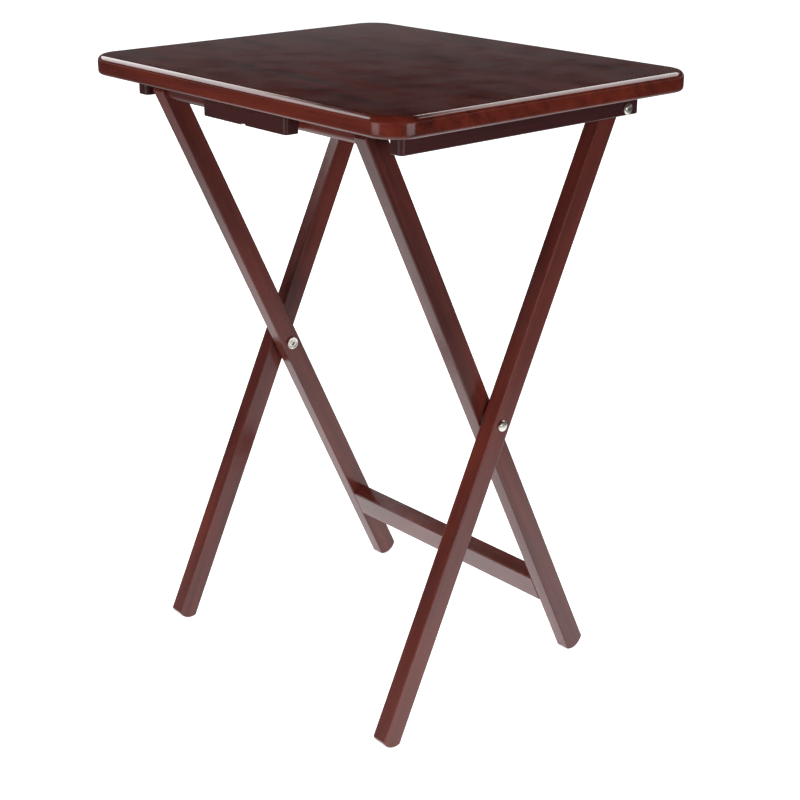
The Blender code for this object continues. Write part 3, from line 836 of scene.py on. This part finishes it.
def model_outer_leg():
    """The right outer leg, upright."""
    low, high = corners("outer_leg_right", -LEAN, CROSSING)
    leg = leg_bar(low, high)
    inside, outside = low.x - BEYOND, high.x + BEYOND
    for height in (0, pivot_height):
        bore(leg, (inside, 0, height), (outside, 0, height), BOLT_RADIUS + HOLE_PLAY)
    insert_end = corners("pivot_insert_right")[1].x + HOLE_PLAY
    bore(leg, (inside, 0, pivot_height), (insert_end, 0, pivot_height), INSERT_HOLE)
    return leg


fit_pair(model_outer_leg(), "outer_leg", "bar", leaned(-LEAN), OUTER_LEG_WOOD)

# %% [markdown]
# The inner legs have a wider hole at the crossing, for the nut's sleeve, and a blind hole on the
# inside at the top for the round crossbar.

# %% Inner legs
dowel_height = math.hypot(dowel_y - CROSSING.y, dowel_z - CROSSING.z)


def model_inner_leg():
    """The right inner leg, upright."""
    low, high = corners("inner_leg_right", LEAN, CROSSING)
    leg = leg_bar(low, high)
    inside, outside = low.x - BEYOND, high.x + BEYOND
    bore(leg, (inside, 0, 0), (outside, 0, 0), SLEEVE_HOLE)
    dowel_end = dowel_high.x + HOLE_PLAY
    bore(leg, (inside, 0, dowel_height), (dowel_end, 0, dowel_height),
         dowel_radius + HOLE_PLAY, 48)
    return leg


fit_pair(model_inner_leg(), "inner_leg", "bar", leaned(LEAN), INNER_LEG_WOOD)

# %% [markdown]
# ## Crossbars
# Two bars hold the inner legs apart. The upper one is a round rod that rests behind the catch
# block. Its ends are chamfered so that they start into their holes. The lower one, the stretcher,
# is a flat board whose front is flush with the legs, pinned into them.

# %% Crossbars
ROD_CHAMFER = 0.0008


def model_rod():
    """The round crossbar, turned upright and then laid in its place."""
    length = dowel_high.x - dowel_low.x
    slim = dowel_radius - ROD_CHAMFER
    profile = [(slim, 0), (dowel_radius, ROD_CHAMFER), (dowel_radius, length - ROD_CHAMFER),
               (slim, length)]
    rod = turned("top_dowel_rod", profile, 64)
    put(rod, (dowel_low.x, dowel_y, dowel_z), (0, QUARTER_TURN, 0))
    return rod


def model_stretcher():
    """The flat crossbar, leaned with the inner legs."""
    low, high = corners("stretcher", LEAN, CROSSING)
    board = block("stretcher_board", low, high)
    round_edges(board, lambda edge: span(edge, 0) > HAIR, EASED_EDGE, 4)
    put(board, CROSSING, (LEAN, 0, 0))
    return board


dress(model_rod(), "top_dowel", CROSSBAR_WOOD)
dress(model_stretcher(), "stretcher", CROSSBAR_WOOD)

# %% [markdown]
# ## Bolts
# Both kinds of bolt show only a smooth domed head. The dome is a quarter ellipse over a short
# upright rim, and the head's underside steps in to the shank. All of it is one circle that is
# extruded and scaled again and again, which is how a lathe shape is made by hand. The last step of
# the dome leaves a tiny flat at its crown, where a circle can't shrink to a point.

# %% Bolts
HEAD_HEIGHT = 0.003
RIM_HEIGHT = 0.0006
TIP_CHAMFER = 0.0005
RIM_CHAMFER = 0.0002
DOME_STEPS = 10
CROWN_FLAT = 0.4


def laid(middle, outward=1):
    """The step that lays a lathe shape along X on an axis, its top outward, or inward for -1."""
    def steps(node, sign):
        low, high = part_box(node)
        way = sign * outward
        start = low.x if way > 0 else high.x
        return [((start, middle.y, middle.z), (0, way * QUARTER_TURN, 0))]

    return steps


def model_bolt(kind):
    """A bolt that stands on its tip."""
    low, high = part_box(f"{kind}_right")
    radius = (high.y - low.y) / 2
    seat = high.x - low.x - HEAD_HEIGHT
    profile = [(BOLT_RADIUS - TIP_CHAMFER, 0), (BOLT_RADIUS, TIP_CHAMFER), (BOLT_RADIUS, seat),
               (radius - RIM_CHAMFER, seat), (radius, seat + RIM_CHAMFER)]
    for step in range(DOME_STEPS + 1):
        angle = QUARTER_TURN * step / (DOME_STEPS + CROWN_FLAT)
        height = RIM_HEIGHT + (HEAD_HEIGHT - RIM_HEIGHT) * math.sin(angle)
        profile.append((radius * math.cos(angle), seat + height))
    return turned(kind, profile)


fit_pair(model_bolt("crossing_bolt"), "crossing_bolt", "domed", laid(CROSSING), BRIGHT_NICKEL)
fit_pair(model_bolt("pivot_bolt"), "pivot_bolt", "domed", laid(PIVOT), BRIGHT_NICKEL)

# %% [markdown]
# The crossing bolt screws into a sleeve nut from inside. Its flange is a flat disc with a raised
# ring round its edge and a hexagonal socket for a key, so the disc gets a ring profile, and the
# socket is cut with a six-sided tool.

# %% Sleeve nuts
FLANGE_THICKNESS = 0.002
SLEEVE_RADIUS = 0.004
SLEEVE_CHAMFER = 0.0003
SOCKET_RADIUS = 0.0029
SOCKET_DEPTH = 0.0018
# The flange's face: how far in from its rim, or out from the socket, and how deep below the top.
RAISED_RING = ((0, 0.0003), (0.0001, 0.0001), (0.0003, 0), (0.0012, 0), (0.0014, 0.0001),
               (0.0017, 0.0005), (0.0021, 0.0006))
SOCKET_LIP = ((0.0009, 0.0006), (0.0005, 0.0003))


def model_sleeve_nut():
    """A nut that stands on the end of its sleeve."""
    low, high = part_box("crossing_nut_right")
    length = high.x - low.x
    radius = (high.y - low.y) / 2
    seat = length - FLANGE_THICKNESS
    profile = [(SLEEVE_RADIUS - SLEEVE_CHAMFER, 0), (SLEEVE_RADIUS, SLEEVE_CHAMFER),
               (SLEEVE_RADIUS, seat), (radius - RIM_CHAMFER, seat), (radius, seat + RIM_CHAMFER)]
    profile += [(radius - far_in, length - deep) for far_in, deep in RAISED_RING]
    profile += [(SOCKET_RADIUS + far_out, length - deep) for far_out, deep in SOCKET_LIP]
    nut = turned("sleeve_nut", profile)
    bore(nut, (0, 0, length - SOCKET_DEPTH), (0, 0, length + BEYOND), SOCKET_RADIUS, 6)
    return nut


fit_pair(model_sleeve_nut(), "crossing_nut", "sleeve", laid(CROSSING, -1), BRIGHT_NICKEL, 30)

# %% [markdown]
# ## Spacers, washers and inserts
# A ring is the same lathe work, but the profile runs out, up, in and back down to where it began,
# and the two ends of the loop are merged. The edges are broken by a small chamfer, since a moulded
# or stamped ring is never sharp.

# %% Rings
RINGS = (("crossing_spacer", NYLON, CROSSING, 0.0003),
         ("pivot_washer", DULL_NICKEL, PIVOT, 0.00015),
         ("pivot_insert", DULL_NICKEL, PIVOT, 0.0003))


def model_ring(kind, chamfer):
    """A ring that lies flat."""
    low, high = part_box(f"{kind}_right")
    outer, inner = (high.y - low.y) / 2, BOLT_RADIUS + HOLE_PLAY
    length = high.x - low.x
    profile = [(inner, chamfer), (inner + chamfer, 0), (outer - chamfer, 0), (outer, chamfer),
               (outer, length - chamfer), (outer - chamfer, length), (inner + chamfer, length),
               (inner, length - chamfer), (inner, chamfer)]
    return turned(kind, profile, 40, hollow=True)


for kind, material, middle, chamfer in RINGS:
    fit_pair(model_ring(kind, chamfer), kind, "ring", laid(middle), material, 30)

# %% [markdown]
# ## Screws
# Eight countersunk screws hold the cleats and the catch block. They are seen only from below, deep
# in their holes, but a cross recess makes each one read as a screw. One is modelled and the others
# are copies of it, each turned to another angle, as screws are when they are tight.

# %% Screws
SHANK_RADIUS = 0.002
HEAD_BREAK = (0.0004, 0.0003)
HEAD_RIM = 0.0005
HEAD_CONE = 0.0025
POINT_LENGTH = 0.004
POINT_SHARE = 0.3
RECESS_WIDTH = 0.0009
RECESS_LENGTH = 0.0048
RECESS_DEPTH = 0.0016
SCREW_TURN = math.radians(37)


def model_screw(low, high):
    """A screw with its head down and its head's face at the origin."""
    radius = (high.x - low.x) / 2
    length = high.z - low.z
    profile = [(radius - HEAD_BREAK[0], 0), (radius, HEAD_BREAK[1]), (radius, HEAD_RIM),
               (SHANK_RADIUS, HEAD_CONE), (SHANK_RADIUS, length - POINT_LENGTH),
               (SHANK_RADIUS * POINT_SHARE, length)]
    screw = turned("screw", profile, 32)
    for wide, deep in ((RECESS_LENGTH, RECESS_WIDTH), (RECESS_WIDTH, RECESS_LENGTH)):
        cut(screw, block("recess_bar", (-wide / 2, -deep / 2, -0.001),
                         (wide / 2, deep / 2, RECESS_DEPTH)))
    return screw


first_low, first_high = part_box("catch_screw_left")
pattern = model_screw(first_low, first_high)
screws = [f"catch_screw_{side}" for side, _ in SIDES]
screws += [f"cleat_screw_{side}_{place}" for side, _ in SIDES for place in PLACES]
for number, node in enumerate(screws):
    low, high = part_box(node)
    screw = copied(pattern, f"{node}_driven")
    middle = (low + high) / 2
    put(screw, (middle.x, middle.y, low.z), (0, 0, SCREW_TURN * number))
    dress(screw, node, DULL_NICKEL, 30)
bpy.data.objects.remove(pattern)

# %% [markdown]
# The four pins of the stretcher stay as the model has them, since they are hidden in their holes,
# and take the plain beech.

# %% Pins
for name, node in frame["nodes"].items():
    if name.startswith("stretcher_pin"):
        for material_slot in node.material_slots:
            material_slot.link = "OBJECT"
            material_slot.material = BEECH
